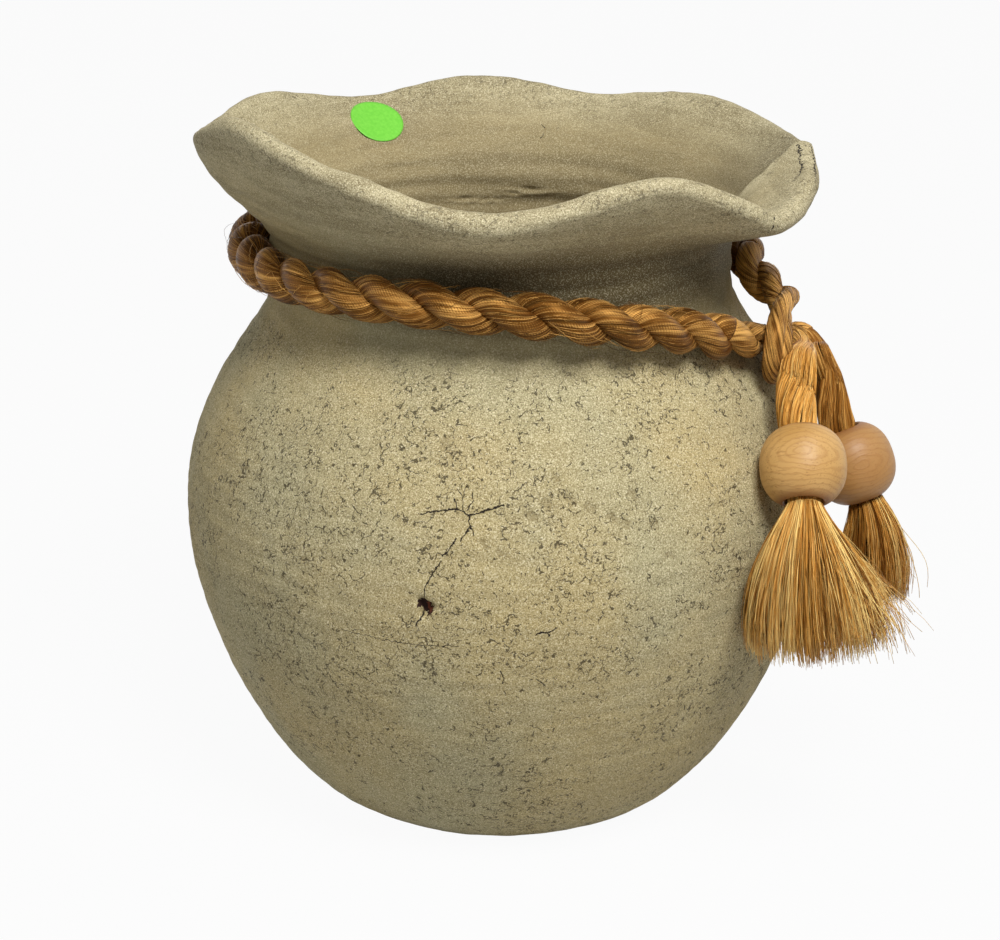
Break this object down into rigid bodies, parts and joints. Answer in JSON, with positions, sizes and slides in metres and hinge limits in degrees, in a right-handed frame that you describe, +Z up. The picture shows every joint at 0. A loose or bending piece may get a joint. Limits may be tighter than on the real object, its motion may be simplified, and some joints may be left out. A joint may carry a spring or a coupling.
{
  "type": "clay pot",
  "caption": "Round-bellied clay pot with a wavy pinched rim, a twisted rope knotted round its neck, and a wooden bead and a frayed tassel on each rope tail.",
  "frame": {"origin": "centre of the flat underside of the base", "axes": "+Z up through the mouth, the pictured side faces -Y, and the knot with its tails is on the +X side, 12 to 35 degrees towards the front"},
  "size_m": [0.2381, 0.2096, 0.2384],
  "materials": {
    "clay": "unglazed fired clay, fine crackle and pits",
    "label": "plain bright green round label",
    "rope": "twisted natural fibre, slight sheen",
    "bead_wood": "sanded pale wood, light lacquer",
    "straw": "frayed straw-coloured natural fibre"
  },
  "bodies": {
    "vessel": {"pot": "clay", "price_sticker": "label"},
    "collar": {"collar_strand_a": "rope", "collar_strand_b": "rope", "knot_turn": "rope", "knot_wrap": "rope"},
    "front_tail": {"front_tail_strand_a": "rope", "front_tail_strand_b": "rope", "front_tassel": "straw"},
    "rear_tail": {"rear_tail_strand_a": "rope", "rear_tail_strand_b": "rope", "rear_tassel": "straw"},
    "front_bead": {"front_bead": "bead_wood"},
    "rear_bead": {"rear_bead": "bead_wood"}
  },
  "joints": [
    {"name": "collar_turn", "type": "hinge", "parent": "vessel", "child": "collar", "pos_m": [0, 0, 0.18], "axis": [0, 0, 1], "continuous": true},
    {"name": "front_tail_lift", "type": "hinge", "parent": "collar", "child": "front_tail", "pos_m": [0.09363, -0.04442, 0.15596], "axis": [-0.4671, -0.6797, 0.5655], "range_deg": [0, 65]},
    {"name": "front_bead_slide", "type": "slide", "parent": "front_tail", "child": "front_bead", "axis": [0.0123, 0.6346, 0.7728], "range_m": [0, 0.008]},
    {"name": "rear_tail_lift", "type": "hinge", "parent": "collar", "child": "rear_tail", "pos_m": [0.10258, -0.02084, 0.15012], "axis": [-0.2392, -0.9592, 0.1508], "range_deg": [0, 65]},
    {"name": "rear_bead_slide", "type": "slide", "parent": "rear_tail", "child": "rear_bead", "axis": [-0.3393, 0.228, 0.9126], "range_m": [0, 0.008]}
  ]
}
